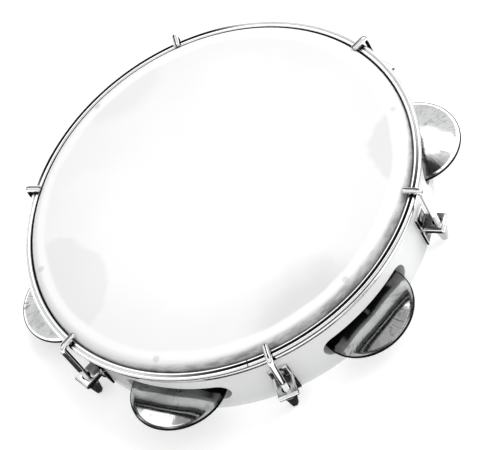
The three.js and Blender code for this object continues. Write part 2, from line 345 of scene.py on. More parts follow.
def make_shell(slot_angles):
    vertices, normals = [], []

    def add(angle, radius, height, out, up):
        vertices.append((*spoke(angle, radius), height))
        normals.append((*spoke(angle, out), up))
        return len(vertices) - 1

    def across(profile, outer_angle, inner_angle):
        made = []
        for radius, height, out, up in profile:
            share = (radius - SHELL_INNER) / SHELL_WALL
            made.append(add(inner_angle + (outer_angle - inner_angle) * share, radius, height, out, up))
        return made

    def quarter(x, z, radius, start, end, steps):
        return [(x + radius * c, z + radius * s, c, s) for c, s in arc(0, 0, 1, start, end, steps)]

    outer_edge = SHELL_RADIUS - SHELL_EDGE
    inner_edge = SHELL_INNER + SHELL_EDGE
    base = quarter(outer_edge, SHELL_EDGE, SHELL_EDGE, 0, -90, EDGE_STEPS)
    base += quarter(inner_edge, SHELL_EDGE, SHELL_EDGE, -90, -180, EDGE_STEPS)
    inner_top = SHELL_HEIGHT - INNER_ROUND
    crown = quarter(SHELL_INNER + INNER_ROUND, inner_top, INNER_ROUND, 180, 90, EDGE_STEPS)
    crown += quarter(BEARING_CENTRE, BEARING_HEIGHT, BEARING_ROUND, 90, 0, ARC_STEPS)

    def column(outer_angle, inner_angle, rise):
        """Two chains of vertices round the wall's section: below the slot and above it."""
        rows = [k / WALL_ROWS for k in range(WALL_ROWS + 1)]
        low, high = SLOT_MIDDLE - rise, SLOT_MIDDLE + rise
        below = [add(outer_angle, SHELL_RADIUS, low + (SHELL_EDGE - low) * k, 1, 0) for k in rows[:-1]]
        below += across(base, outer_angle, inner_angle)
        up = low - SHELL_EDGE
        below += [add(inner_angle, SHELL_INNER, SHELL_EDGE + up * k, -1, 0) for k in rows[1:]]
        above = [add(inner_angle, SHELL_INNER, high + (inner_top - high) * k, -1, 0) for k in rows[:-1]]
        above += across(crown, outer_angle, inner_angle)
        down = BEARING_HEIGHT - high
        above += [add(outer_angle, SHELL_RADIUS, BEARING_HEIGHT - down * k, 1, 0) for k in rows[1:]]
        if rise == 0:
            above[0] = below[-1]
            above[-1] = below[0]
        return below, above

    def angles(place):
        tangent = place[0] + SLOT_EDGE * place[2]
        return math.asin(tangent / SHELL_RADIUS), math.asin(tangent / SHELL_INNER)

    def cross_section(place):
        """Vertices through the wall at a place on the slot's edge, without the two on its faces."""
        t, rise, along, up = place
        made = []
        outer = [(SLOT_EDGE * (1 - s), SHELL_RADIUS - SLOT_EDGE * (1 - c), c, s)
                 for c, s in arc(0, 0, 1, 0, 90, EDGE_STEPS)[1:]]
        inner = [(SLOT_EDGE * (1 - s), SHELL_INNER + SLOT_EDGE * (1 - c), -c, s)
                 for c, s in arc(0, 0, 1, 90, 0, EDGE_STEPS)[:-1]]
        for offset, radius, out, share in outer + inner:
            tangent = t + offset * along
            angle = math.asin(tangent / radius)
            made.append(add(angle, radius, SLOT_MIDDLE + rise + offset * up, out, 0))
            x, y, z = normals[-1]
            normals[-1] = (x, y - share * along, z - share * up)
        return made

    def turn(first, angle):
        spin = Matrix.Rotation(angle, 3, "Z")
        for k in range(first, len(vertices)):
            vertices[k] = tuple(spin @ Vector(vertices[k]))
            normals[k] = tuple((spin @ Vector(normals[k])).normalized())

    faces, columns = [], []
    order = sorted(slot_angles)
    places = slot_columns()
    for angle, next_angle in zip(order, [*order[1:], order[0] + 2 * math.pi]):
        first = len(vertices)
        own = [column(*angles(place), place[1] + SLOT_EDGE * place[3]) for place in places[1:-1]]
        tips = [column(*angles(places[end]), 0) for end in (0, -1)]
        own = [tips[0], *own, tips[1]]
        upper = [cross_section(place) for place in places]
        lower = [cross_section((t, -rise, along, -up)) for t, rise, along, up in places[1:-1]]
        rim = [[above[-1], *middle, above[0]] for (below, above), middle in zip(own, upper)]
        rim += [[below[0], *middle, below[-1]]
                for (below, above), middle in list(zip(own[1:-1], lower))[::-1]]
        faces += skin(rim, around=False, along=True)
        outer_tip, inner_tip = angles(places[-1])
        spread = next_angle - angle
        count = round(math.degrees(spread - 2 * outer_tip) / PLAIN_COLUMN_DEGREES)
        for k in range(1, count):
            outer = outer_tip + (spread - 2 * outer_tip) * k / count
            inner = inner_tip + (spread - 2 * inner_tip) * k / count
            own.append(column(outer, inner, 0))
        columns += own
        turn(first, angle)
    for chains in zip(*columns):
        for one, two in zip(chains, chains[1:] + chains[:1]):
            for k in range(len(one) - 1):
                faces.append((one[k], one[k + 1], two[k + 1], two[k]))
    used = sorted({corner for face in faces for corner in face})
    number = {old: new for new, old in enumerate(used)}
    faces = [tuple(number[corner] for corner in face) for face in faces]
    mesh = mesh_from("fine_shell", [vertices[k] for k in used], faces, NO_CREASE_DEGREES)
    mesh.normals_split_custom_set_from_vertices([normals[k] for k in used])
    return mesh


# Head and hoops
def wrinkle(angle, radius, height):
    """The film's collar is drawn into faint pleats between the shoulder and the hoop."""
    if radius < BEARING_CENTRE:
        return radius, height
    depth = min(1, (SHELL_HEIGHT - height) / BEARING_ROUND)
    along = Vector((*spoke(angle), 0)) * PLEAT_WAVES
    pleat = noise.noise(along) + FINE_PLEAT_SHARE * noise.noise(along * FINE_PLEAT_WAVES)
    return radius + FILM_WRINKLE * depth * pleat, height


def make_head():
    inner = BEARING_ROUND + SEAT_GAP
    outer = inner + FILM
    tuck_top = FLESH_BOTTOM - SEAT_GAP
    tuck_bottom = tuck_top - FILM
    tuck_reach = FILM_OUTER + FILM_TUCK
    flats = [BEARING_CENTRE * share for share in FILM_FLAT_SHARES]
    profile = [(0, BEARING_HEIGHT + inner)]
    profile += [(radius, BEARING_HEIGHT + inner) for radius in flats]
    profile += arc(BEARING_CENTRE, BEARING_HEIGHT, inner, 90, 0, 2 * ARC_STEPS)
    profile += [(FILM_INNER, tuck_bottom), (tuck_reach, tuck_bottom)]
    profile += [(tuck_reach, tuck_top), (FILM_OUTER, tuck_top)]
    profile += arc(BEARING_CENTRE, BEARING_HEIGHT, outer, 0, 90, 2 * ARC_STEPS)
    profile += [(radius, BEARING_HEIGHT + outer) for radius in flats[::-1]]
    profile += [(0, BEARING_HEIGHT + outer)]
    return turned("fine_head", profile, 2 * RING_SEGMENTS, wrinkle)


def make_flesh_hoop():
    outer = FLESH_INNER + FLESH_WIDTH
    return turned("fine_flesh_hoop", rounded([
        (FLESH_INNER, FLESH_BOTTOM, FLESH_ROUND),
        (outer, FLESH_BOTTOM, FLESH_ROUND),
        (outer, FLESH_TOP, FLESH_ROUND),
        (FLESH_INNER, FLESH_TOP, FLESH_ROUND),
    ]), RING_SEGMENTS)


def make_counter_hoop():
    waist = math.degrees(math.asin(BEAD_WEB / 2 / BEAD_RADIUS))
    steps = 2 * ARC_STEPS
    outer = arc(OUTER_BEAD, HOOP_HEIGHT, BEAD_RADIUS, waist - 180, 180 - waist, steps)
    inner = arc(INNER_BEAD, HOOP_HEIGHT, BEAD_RADIUS, waist, 360 - waist, steps)
    return turned("fine_counter_hoop", outer + inner, 2 * RING_SEGMENTS)


# Hooks and nuts
def hook_rings():
    """Centre radius, height, turn and wire radius from thread to tip. The thread has no radius yet."""
    shoulder = HOOP_HEIGHT - SHANK_LENGTH
    bottom = NUT_BORE_BOTTOM + SEAT_GAP
    rows = int((shoulder - bottom) / THREAD_PITCH * THREAD_ROWS)
    rod = [(bottom, THREAD_RADIUS - 2 * THREAD_DEPTH)]
    rod += [(bottom + (shoulder - bottom) * k / rows, None) for k in range(rows)]
    rod += [(shoulder, THREAD_RADIUS - THREAD_DEPTH / 2)]
    rod += [(shoulder + SHOULDER_CONE / 2, WIRE_RADIUS - SHEET_EDGE)]
    for k in range(SHANK_STEPS):
        rise = (SHANK_LENGTH - SHANK_TOP_ROW) * k / SHANK_STEPS
        rod.append((shoulder + SHOULDER_CONE + rise, WIRE_RADIUS))
    rings = [(ROD_CIRCLE, height, 0, wire) for height, wire in rod]
    bend = arc(ROD_CIRCLE - HOOK_BEND, HOOP_HEIGHT, HOOK_BEND, 0, 90, 2 * ARC_STEPS)
    rings += [(r, z, 90 * k / (2 * ARC_STEPS), WIRE_RADIUS) for k, (r, z) in enumerate(bend)]
    top = HOOP_HEIGHT + HOOK_BEND
    start = OUTER_BEAD - TIP_STRAIGHT
    for share in TIP_ROW_SHARES:
        reach = (start - ROD_CIRCLE + HOOK_BEND) * share
        rings.append((ROD_CIRCLE - HOOK_BEND + reach, top, 90, WIRE_RADIUS))
    curl_top = top - TIP_CURL_RADIUS
    round_degrees = math.degrees(TIP_ROUND / TIP_CURL_RADIUS)
    curl_end = TIP_CURL_DEGREES - round_degrees
    curl = [(curl_end * k / CURL_STEPS, WIRE_RADIUS) for k in range(CURL_STEPS + 1)]
    for k in range(1, EDGE_STEPS + 1):
        share = math.sin(math.pi / 2 * k / EDGE_STEPS)
        shrink = TIP_ROUND * (1 - math.cos(math.pi / 2 * k / EDGE_STEPS))
        curl.append((curl_end + round_degrees * share, WIRE_RADIUS - shrink))
    for angle, wire in curl:
        (r, z), = arc(start, curl_top, TIP_CURL_RADIUS, 90 + angle, 90, 0)
        rings.append((r, z, 90 + angle, wire))
    return rings


def thread(angle, height):
    """The radius of the rolled thread: sharp-sided, with a flat crest and root."""
    turn = (height / THREAD_PITCH - angle / (2 * math.pi)) % 1
    wave = abs(2 * turn - 1)
    depth = min(1, max(0, THREAD_FLANK_SLOPE * wave - THREAD_CREST_SHARE))
    return THREAD_RADIUS - THREAD_DEPTH * depth


def make_hook(name):
    vertices, rings = [], []
    for r, z, lift, wire in hook_rings():
        turn = math.radians(lift)
        first = len(vertices)
        for i in range(WIRE_SIDES):
            angle = 2 * math.pi * i / WIRE_SIDES
            out, side = spoke(angle, thread(angle, z) if wire is None else wire)
            vertices.append((r + out * math.cos(turn), side, z + out * math.sin(turn)))
        rings.append(list(range(first, first + WIRE_SIDES)))
    for ring in (rings[0], rings[-1]):
        vertices.append(tuple(np.mean([vertices[k] for k in ring], axis=0)))
    rings = [[len(vertices) - 2], *rings, [len(vertices) - 1]]
    return mesh_from(name, vertices, skin(rings))


def nut_profile():
    """Radius, height and how six-sided each ring is, from the tip up and down into the bore."""
    bottom = NUT_TOP - NUT_LENGTH
    collar = NUT_TOP - NUT_COLLAR_HEIGHT
    bore = THREAD_RADIUS + SEAT_GAP
    tip_round = NUT_TIP_RADIUS / NUT_TIP_ROUND_PARTS
    rings = [(0, bottom, 1)]
    for r, z in arc(NUT_TIP_RADIUS - tip_round, bottom + tip_round, tip_round, -90, 0, EDGE_STEPS):
        rings.append((r, z, 1))
    rise = collar - bottom - tip_round
    for k in range(1, NUT_STEPS + 1):
        radius = NUT_TIP_RADIUS + (NUT_ROOT_RADIUS - NUT_TIP_RADIUS) * k / NUT_STEPS
        rings.append((radius, bottom + tip_round + rise * k / NUT_STEPS, 1))
    edge = NUT_COLLAR_RADIUS - NUT_EDGE
    inwards = arc(edge, collar + NUT_EDGE, NUT_EDGE, -90, 0, EDGE_STEPS)
    inwards += arc(edge, NUT_TOP - NUT_EDGE, NUT_EDGE, 0, 90, EDGE_STEPS)
    inwards += [(bore + NUT_EDGE, NUT_TOP), (bore, NUT_TOP - NUT_EDGE), (bore, NUT_BORE_BOTTOM)]
    return rings + [(r, z, 0) for r, z in [*inwards, (0, NUT_BORE_BOTTOM)]]


def six_sided(angle, radius, height, sided):
    """The nut's outline at a height, six-sided with its corners turned down."""
    flat = (angle + math.pi / 6) % (math.pi / 3) - math.pi / 6
    side = min(math.cos(math.pi / 6) / math.cos(flat), NUT_CORNER_SHARE)
    return radius * (sided * side + 1 - sided), height


def make_nut(name):
    return turned(name, nut_profile(), NUT_SEGMENTS, six_sided, NUT_CREASE_DEGREES)


# Brackets, rivets and pins
def make_bracket(name):
    """A folded strip, rounded at its edges, with a round hole for the rod."""
    fold = ROD_CIRCLE + FLANGE_BEYOND_ROD - FLANGE_HALF
    half = FOLD_GAP / 2
    top, bottom = FLANGE_MIDDLE + FLANGE_HALF, FLANGE_MIDDLE - FLANGE_HALF
    outer_round = BEND_ROUND + SHEET
    lower = rounded([
        (TAB_BACK, TAB_BOTTOM, SHEET_EDGE),
        (TAB_FRONT, TAB_BOTTOM, SHEET_EDGE),
        (TAB_FRONT, bottom, BEND_ROUND),
        (fold, bottom, 0),
        (fold, FLANGE_MIDDLE - half, 0),
        (TAB_BACK, FLANGE_MIDDLE - half, outer_round),
    ])
    steps = EDGE_STEPS + 1
    mirror = [(r, 2 * FLANGE_MIDDLE - z) for r, z in lower]
    outline = lower[:3 * steps] + arc(fold, FLANGE_MIDDLE, FLANGE_HALF, -90, 90, 2 * ARC_STEPS)
    height_shift = TAB_TOP - (2 * FLANGE_MIDDLE - TAB_BOTTOM)
    front = mirror[2 * steps:3 * steps][::-1]
    tab = [(r, z + height_shift) for r, z in mirror[:2 * steps][::-1]]
    outline += front + tab + mirror[-steps:][::-1]
    outline += arc(fold, FLANGE_MIDDLE, half, 90, -90, ARC_STEPS) + lower[-steps:]
    count = len(outline)
    width = BRACKET_WIDTH / 2
    vertices = [(r, y, z) for y in (-width, width) for r, z in outline]
    faces = [(i, (i + 1) % count, (i + 1) % count + count, i + count) for i in range(count)]
    faces += [tuple(range(count))[::-1], tuple(range(count, 2 * count))]
    strip = new_object("strip", mesh_from("strip", vertices, faces))
    bore, low, high = THREAD_RADIUS + ROD_HOLE_CLEARANCE, bottom - SHEET, top + SHEET
    hole = turned("hole", [(0, low), (bore, low), (bore, high), (0, high)], RIVET_SEGMENTS)
    cutter = new_object("hole", hole)
    cutter.matrix_world = shift(ROD_CIRCLE, 0, 0)
    bevel = strip.modifiers.new("edges", "BEVEL")
    bevel.width = SHEET_EDGE * MM
    bevel.segments = BEVEL_STEPS
    bevel.limit_method = "ANGLE"
    bevel.angle_limit = math.radians(BEVEL_DEGREES)
    drill = strip.modifiers.new("hole", "BOOLEAN")
    drill.object = cutter
    drill.operation = "DIFFERENCE"
    bpy.context.view_layer.update()
    drilled = strip.evaluated_get(bpy.context.evaluated_depsgraph_get())
    finished = bpy.data.meshes.new_from_object(drilled)
    for made in (strip, cutter):
        bpy.data.objects.remove(made)
    finished.name = name
    finished.shade_smooth()
    finished.set_sharp_from_angle(angle=math.radians(SHEET_CREASE_DEGREES))
    return finished


def make_rivet(name):
    """A domed rivet along +Z, from its clenched end inside the shell to its head on the tab."""
    seat = TAB_FRONT + SEAT_GAP
    clench = SHELL_INNER - SEAT_GAP
    dome = [(RIVET_HEAD_RADIUS * c, seat + RIVET_HEAD_HEIGHT * s)
            for c, s in arc(0, 0, 1, 0, 90, ARC_STEPS)]
    end = [(RIVET_CLENCH_RADIUS * c, clench + RIVET_CLENCH_HEIGHT * s)
           for c, s in arc(0, 0, 1, -90, 0, ARC_STEPS)]
    profile = [(0, clench - RIVET_CLENCH_HEIGHT), *end[1:]]
    profile += [(RIVET_RADIUS, clench), (RIVET_RADIUS, seat), *dome[:-1], (0, seat + RIVET_HEAD_HEIGHT)]
    return turned(name, profile, RIVET_SEGMENTS)


def make_pin(name):
    seat = PIN_TOP - PIN_HEAD_HEIGHT
    profile = [(0, PIN_BOTTOM), (PIN_RADIUS, PIN_BOTTOM), (PIN_RADIUS, seat)]
    profile += [(PIN_HEAD_RADIUS, seat), (PIN_HEAD_RADIUS, PIN_TOP), (0, PIN_TOP)]
    return turned(name, profile, RIVET_SEGMENTS)


# Jingles
def jingle_rise(radius):
    """Height of the disc's underside: a flat lip, a dish that steepens outwards, and a flat crown."""
    lip = JINGLE_RADIUS - JINGLE_LIP
    share = (lip - radius) / (lip - JINGLE_CROWN)
    share = min(1, max(0, share))
    return JINGLE_DISH * math.sin(math.pi / 2 * share)


def make_jingle(name, seed):
    """A dished disc, crown up, with the underside of its lip at height zero."""
    width = JINGLE_RADIUS - JINGLE_BORE
    radii = [JINGLE_BORE + width * k / DISH_STEPS for k in range(DISH_STEPS + 1)]
    under = [(r, jingle_rise(r)) for r in radii]
    edge = JINGLE_THICKNESS / 2
    rim = arc(JINGLE_RADIUS - edge, edge, edge, -90, 90, 2 * EDGE_STEPS)
    over = [(r, z + JINGLE_THICKNESS) for r, z in under]
    profile = under[:-1] + rim + over[:-1][::-1]

    def dent(angle, radius, height):
        share = min(1, max(0, (JINGLE_RADIUS - JINGLE_LIP - radius) / DENT_FADE))
        x, y = (radius * turn(angle) / DENT_SIZE for turn in (math.cos, math.sin))
        place = Vector((x, y, seed))
        return radius, height + JINGLE_DENT * share * noise.noise(place)

    return turned(name, profile, DISC_SEGMENTS, dent)


def disc_matrix(node):
    """Where a packed disc lies: its axis, and the underside of its lip."""
    points = coordinates(frame["nodes"][node].data)
    points = np.unique(points.reshape(-1, 3).round(POINT_DIGITS), axis=0)
    centre = points.mean(axis=0)
    axis = np.linalg.svd(points - centre)[2][2]
    heights = (points - centre) @ axis
    reach = np.linalg.norm(points - centre - heights[:, None] * axis, axis=1)
    rim = heights[reach > reach.max() * RIM_POINTS_SHARE]
    if rim.mean() > heights.mean():
        axis, rim = -axis, -rim
    up = Vector(axis)
    out = Vector((centre[0], centre[1], 0))
    out = (out - up * out.dot(up)).normalized()
    matrix = Matrix((out, up.cross(out), up)).transposed().to_4x4()
    matrix.translation = Vector(centre) + up * float(rim.min())
    return matrix


# Materials: lengths in millimetres, greys and shares from zero to one
CLOUDS = {
    # size, detail, roughness, any squeeze upwards, and where any patches begin and are full
    "stain": (60, 4, 0.6, 1, 0.5, 0.68),
    "scuff": (9, 5, 0.7, 4, 0.62, 0.72),
    "cut": (3, 3, 0.6, 6),
    "inside": (14, 5, 0.6, 3),
    "gloss": (25, 4, 0.6),
    "swell": (18, 3, 0.5),
    "haze": (95, 2, 0.5, 1, 0.45, 0.65),
    "drift": (50, 2, 0.5),
    "ripple": (16, 3, 0.5),
    "rim": (30, 3, 0.5),
    "streak": (10, 3, 0.6, 1, 0.35, 0.65),
    "sheen": (20, 3, 0.5),
    "grain": (0.9, 3, 0.6),
    "wear": (11, 4, 0.6, 1, 0.52, 0.72),
    "pits": (1.1, 3, 0.6, 1, 0.66, 0.72),
    "buff": (30, 1, 0.5),
    "brush": (1.4, 3, 0.6, 1, 0.54, 0.7),
    "brushed": (24, 2, 0.5, 1, 0.4, 0.6),
    "tarnish": (17, 3, 0.55, 1, 0.42, 0.66),
    "smear": (7, 4, 0.6, 1, 0.56, 0.68),
    "mottle": (3.5, 4, 0.6),
    "pitting": (0.8, 3, 0.6),
}
BUMPS = {
    # depth and strength
    "swell": (0.12, 0.35),
    "grain": (0.02, 0.5),
    "buff": (0.1, 0.4),
    "brush": (0.04, 0.6),
    "pitting": (0.02, 0.6),
}
ROUGHNESS = {
    # how much the cloud adds, and the least
    "gloss": (0.2, 0.14),
    "sheen": (0.18, 0.24),
    "brush": (0.12, 0.03),
}
BORDERS = {
    # distances from an edge where each region begins and is full
    "slot depth": (-1.5, -4),
    "slot ceiling": (2, 5),
    "laminate": (-1, -0.6),
    "shell inside": (0.6, 0.25),
    "film underside": (0.4, 0.36),
    "film flat": (0, -1),
    "film tuck": (-0.1, -0.3),
    "hoop foot": (-1.1, -1.2),
    "hoop underside": (0.65, 0.3),
    "flesh underside": (0.3, -0.2),
    "flesh top": (-2.3, -1.6),
    "tab front": (0, -4),
    "tab inset": (-0.9, -1.5),
    "tab foot": (1, 2),
    "tab flank": (-0.35, -0.15),
    "tab sheet": (0.6, 0.2),
    "flange": (1, 2),
    "flange lower sheet": (0.2, -0.1),
    "bend inside": (-0.6, -1.2),
    "bend top": (0, 0.6),
    "bend end": (-0.5, -1),
    "shank back": (-0.5, -0.9),
    "shank": (1.5, 0),
    "jingle rim": (-0.75, -0.5),
}
COATS = {
    # share that it hides, and its grey or colour
    "stain": (0.3, (0.82, 0.83, 0.835)),
    "scuff": (0.12, 0.55),
    "painted slot shade": (1, 0.03),
    "haze": (0.4, 0.89),
    "greying": (1, 0.88),
    "painted film underside shade": (1, 0.12),
    "shade_and_joints": (1, 0.012),
    "painted tab shade": (0.9, 0.04),
    "painted_shade": (1, 0.02),
    "painted hook shade": (1, 0.015),
    "stroke": (1, 0.1),
    "smear": (0.5, 0.3),
    "rim": (1, 0.01),
}
METALS = {
    # colour, roughness, and how worn the plated ones are
    "hoop chrome": ((0.93, 0.935, 0.94), 0.05, 0.25),
    "hook chrome": ((0.86, 0.865, 0.87), 0.07, 0.6),
    "bracket plate": ((0.86, 0.865, 0.87), 0.16, 0.5),
    "flesh hoop plate": ((0.88, 0.885, 0.89), 0.12, 0.4),
    "nut steel": ((0.6, 0.6, 0.605), 0.14),
    "pin steel": ((0.45, 0.45, 0.46), 0.25),
}
MIX_INPUTS = (0, 6, 7)
MIX_OUTPUT = 2
LAMINATE_WHITE = (0.945, 0.95, 0.95)
LAMINATE_SPECULAR = 0.5
CUT_GREYS = (0.78, 0.93)
CUT_ROUGHER = 0.3
INSIDE_GREYS = (0.035, 0.07)
# Painted shade on the slot ceilings: its spread round each slot, and one slot left without it
SLOT_SHADE_DEGREES = (12.5, 10.5)
UNSHADED_SLOT_AZIMUTH = -158
UNSHADED_SLOT_DEGREES = (19, 12)
FILM_WHITE = (0.945, 0.95, 0.945)
FILM_SPECULAR = 0.4
GREYING_RADII = (90, 140)
GREYING_DRIFT = 40
SHADE_GREY = 0.55
SHADE_RIPPLE = 14
CLOUD_MIDDLE = 0.5
RIM_RADII = (117, 120)
RIM_DRIFT = 4
DOT_RADII = (1.2, 3)
DOT_SHARE = 0.6
DOT_GREY = 0.6
# Painted shade on the film's collar: radii where it begins and is full, its greys, the azimuth where it
# starts innermost, and how far it moves outwards away from there
COLLAR_SHADE_RADII = (121.4, 126)
COLLAR_SHADE_GREYS = (0.24, 0.52)
COLLAR_AZIMUTH = -100
COLLAR_FALL = 6
STREAK_SQUEEZE = 5
WORN_GREY_SHARE = 0.72
WORN_ROUGHER = 0.16
PIT_SHARE = 0.5
PIT_GREY = 0.12
# Painted shade in the hoop's groove: its half widths, the azimuths and starts of the sides where it is
# darkest, where it is full, and its least share
GROOVE_HALF = (1.2, 0.8)
GROOVE_SIDES = ((-95, 0.45), (82, 0.7))
GROOVE_FULL = 0.85
GROOVE_LEAST_SHARE = 0.25
SHADE_AND_JOINT_ROUGHER = 0.5
WELD = (-124.3, 0.3)
WELD_SHARE = 0.95
SEAM = (-152.5, 0.25)
CREST_SHADE_OFFSET = 0.1
CREST_SHADE_HALF = (0.55, 0.3)
JINGLE_BRIGHT = (0.68, 0.685, 0.69)
JINGLE_TARNISHED = (0.5, 0.505, 0.51)
BRUSHED_SHARES = (0.15, 0.7)
STROKE_RING = 30
STROKE_SQUEEZE = 0.16
STROKE_SHIFT = 0.01
RIM_ROUGHER = 0.3
MOTTLE_GREY_SHARE = 0.6
MOTTLE_ROUGHER = 0.25


class Nodes:
    """A shader in the making. Values may be numbers or other nodes' outputs."""

    def __init__(self, owner, shader):
        owner.use_nodes = True
        self.tree = owner.node_tree
        self.shader = self.tree.nodes[shader]

    def set(self, socket, value):
        self.feed(self.shader.inputs[socket.replace("_", " ").title().replace("Ior", "IOR")], value)

    def feed(self, socket, value):
        if isinstance(value, bpy.types.NodeSocket):
            self.tree.links.new(value, socket)
        elif socket.type == "RGBA":
            socket.default_value = (*grey(value), 1)
        else:
            socket.default_value = value

    def node(self, kind, inputs=None, **settings):
        made = self.tree.nodes.new("ShaderNode" + kind)
        for key, value in settings.items():
            setattr(made, key, value)
        for socket, value in (inputs or {}).items():
            self.feed(made.inputs[socket], value)
        return made

    def calc(self, operation, first, *others):
        """One operation with each of the other values in turn."""
        for other in others or (0.0,):
            first = self.node("Math", {0: first, 1: other}, operation=operation).outputs[0]
        return first

    times = partialmethod(calc, "MULTIPLY")
    plus = partialmethod(calc, "ADD")
    less = partialmethod(calc, "SUBTRACT")
    most = partialmethod(calc, "MAXIMUM")


class Finish(Nodes):
    """A material in the making, with clouds, borders and coats."""

    def __init__(self, name, **settings):
        self.material = bpy.data.materials.new(name)
        super().__init__(self.material, "Principled BSDF")
        self.place = self.node("TexCoord").outputs["Object"]
        for socket, value in settings.items():
            self.set(socket, value)

    def vector(self, operation, *values):
        return self.node("VectorMath", dict(enumerate(values)), operation=operation).outputs

    def scaled(self, place, *factors):
        return self.vector("MULTIPLY", place, factors)[0]

    def axes(self, place=None):
        return self.node("SeparateXYZ", {0: place or self.place}).outputs

    def cloud(self, name, place=None):
        size, detail, roughness, squeeze = (*CLOUDS[name], 1)[:4]
        place = place or self.place
        if squeeze != 1:
            place = self.scaled(place, 1, 1, squeeze)
        return self.node("TexNoise", {
            "Vector": place, "Scale": 1 / (size * MM), "Detail": detail, "Roughness": roughness,
        }).outputs["Fac"]

    def fade(self, value, start, end, low=0.0, high=1.0):
        """Low where the value is at start, high where it is at end, and smooth between."""
        return self.node("MapRange", {
            "Value": value, "From Min": start, "From Max": end, "To Min": low, "To Max": high,
        }, interpolation_type="SMOOTHSTEP").outputs[0]

    def patches(self, name, cloud=None, low=0.0, high=1.0):
        return self.fade(cloud or self.cloud(name), *CLOUDS[name][4:], low, high)

    def border(self, name, value, edge):
        start, end = BORDERS[name]
        return self.fade(value, edge + start, edge + end)

    def mix(self, share, a, b):
        inputs = dict(zip(MIX_INPUTS, (share, a, b)))
        return self.node("Mix", inputs, data_type="RGBA").outputs[MIX_OUTPUT]

    def coat(self, colour, name, share):
        hides, tone = COATS[name]
        return self.mix(share if hides == 1 else self.times(share, hides), colour, tone)

    def own(self):
        """Places in the piece's own frame, before it was put where it belongs."""
        return self.node("Attribute", attribute_name="own_place").outputs["Vector"]

    def own_axes(self):
        """Distances outwards, sideways and up in the piece's own frame."""
        return [self.times(axis, 1 / MM) for axis in self.axes(self.own())]

    def radius(self, place=None):
        flat = self.scaled(place or self.place, 1, 1, 0)
        return self.times(self.vector("LENGTH", flat)["Value"], 1 / MM)

    def polar(self, ring, squeeze, place=None):
        """Places for clouds that run round the axis on a ring, with the way outwards squeezed."""
        place = place or self.place
        outward = self.vector("NORMALIZE", self.scaled(place, 1, 1, 0))[0]
        along = self.scaled(outward, ring * MM, ring * MM, 0)
        reach = self.node("CombineXYZ", {"Z": self.times(self.radius(place), squeeze * MM)})
        return self.vector("ADD", along, reach.outputs[0])[0]

    def height(self):
        return self.times(self.axes()["Z"], 1 / MM)

    def seam(self, azimuth, width):
        """One at an azimuth, fading to zero at that many degrees on both sides."""
        x, y, _ = self.axes()
        angle = self.calc("DEGREES", self.calc("ARCTAN2", y, x))
        return self.fade(self.calc("ABSOLUTE", self.less(angle, azimuth)), 0.0, width, 1.0, 0.0)

    def toward(self, azimuth):
        """One on the drum's side at that azimuth, zero a quarter turn away, less than zero behind."""
        side = spoke(math.radians(azimuth))
        reach = self.vector("DOT_PRODUCT", self.place, (*side, 0))["Value"]
        return self.calc("DIVIDE", self.times(reach, 1 / MM), self.radius())

    def within(self, azimuth, degrees):
        """Zero beyond the first of two angles from an azimuth, one within the second."""
        start, end = (math.cos(math.radians(turn)) for turn in degrees)
        return self.fade(self.toward(azimuth), start, end)

    def apart(self, place):
        """Distance from a place in millimetres."""
        mark = tuple(value * MM for value in place)
        return self.times(self.vector("DISTANCE", self.place, mark)["Value"], 1 / MM)

    def roughness(self, name, cloud=None):
        added, least = ROUGHNESS[name]
        return self.plus(self.times(cloud or self.cloud(name), added), least)

    def done(self, colour, roughness, bump, height=None):
        """The material, with a bump that follows its own cloud or that height."""
        self.set("base_color", colour)
        self.set("roughness", roughness)
        depth, strength = BUMPS[bump]
        inputs = {"Height": height or self.cloud(bump), "Distance": depth * MM, "Strength": strength}
        self.feed(self.shader.inputs["Normal"], self.node("Bump", inputs).outputs[0])
        return self.material


def grey(value):
    """A colour as three numbers. One number stands for a grey."""
    return (value, value, value) if isinstance(value, (int, float)) else tuple(value)[:3]


def laminate(slots):
    """White outside, pale where the slots are cut, with painted shade on the slot ceilings, and dark
    inside the drum.
    """
    f = Finish("white laminate", specular_ior_level=LAMINATE_SPECULAR)
    radius, height = f.radius(), f.height()
    face = f.coat(LAMINATE_WHITE, "stain", f.patches("stain"))
    face = f.coat(face, "scuff", f.patches("scuff"))
    # Painted shade: the cut faces above the slot middles are darkened where shade falls in the slots.
    ceiling = f.border("slot ceiling", height, SLOT_MIDDLE)
    straight = f.most(0.0, *(f.within(math.degrees(turn), SLOT_SHADE_DEGREES) for turn in slots))
    unshaded = f.within(UNSHADED_SLOT_AZIMUTH, UNSHADED_SLOT_DEGREES)
    slot_shade = f.times(f.border("slot depth", radius, SHELL_RADIUS), ceiling, straight, f.less(1.0, unshaded))
    cut = f.coat(f.mix(f.cloud("cut"), *CUT_GREYS), "painted slot shade", slot_shade)
    skin_share = f.border("laminate", radius, SHELL_RADIUS)
    colour = f.mix(skin_share, cut, face)
    inside = f.mix(f.cloud("inside"), *INSIDE_GREYS)
    colour = f.mix(f.border("shell inside", radius, SHELL_INNER), colour, inside)
    rough = f.plus(f.roughness("gloss"), f.times(f.less(1.0, skin_share), CUT_ROUGHER))
    return f.done(colour, rough, "swell")


